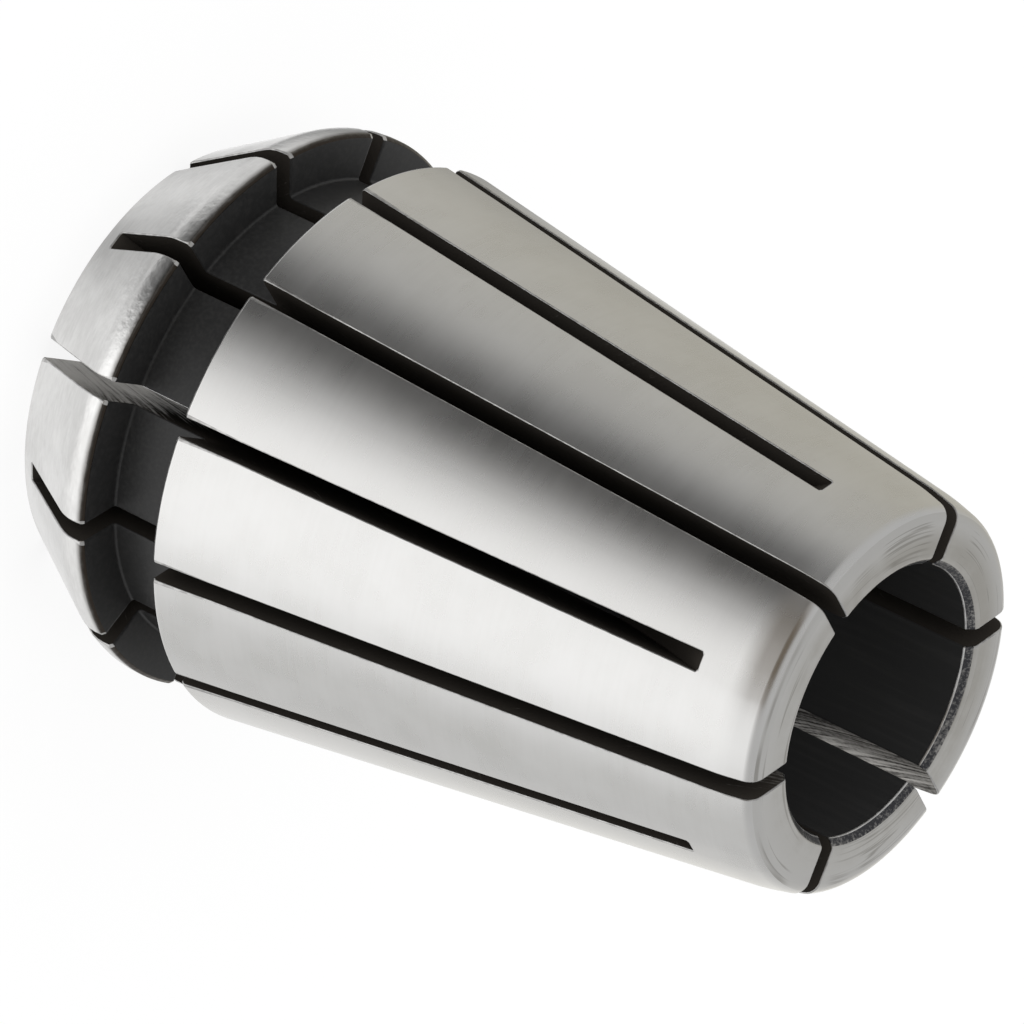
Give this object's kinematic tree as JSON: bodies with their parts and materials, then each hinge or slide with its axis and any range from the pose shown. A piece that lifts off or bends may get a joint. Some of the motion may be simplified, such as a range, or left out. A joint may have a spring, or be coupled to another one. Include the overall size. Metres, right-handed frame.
{
  "type": "er collet",
  "caption": "Slotted spring collet with a parallel gripping bore, an 8 degree clamping taper, an extraction groove and a 30 degree nut cone.",
  "frame": {"origin": "centre of the large front face, which the collet stands on", "axes": "+Z along the bore axis, from the front face to the small end; +X midway between two slots, with a slot that is open at the small end 15 degrees on from it, towards +Y"},
  "size_m": [0.021, 0.021, 0.0315],
  "materials": {
    "ground_steel": "cylindrically ground and polished on the cones and rim, blackened in the groove, bore and slots"
  },
  "bodies": {
    "root": {"collet": "ground_steel"}
  },
  "joints": []
}
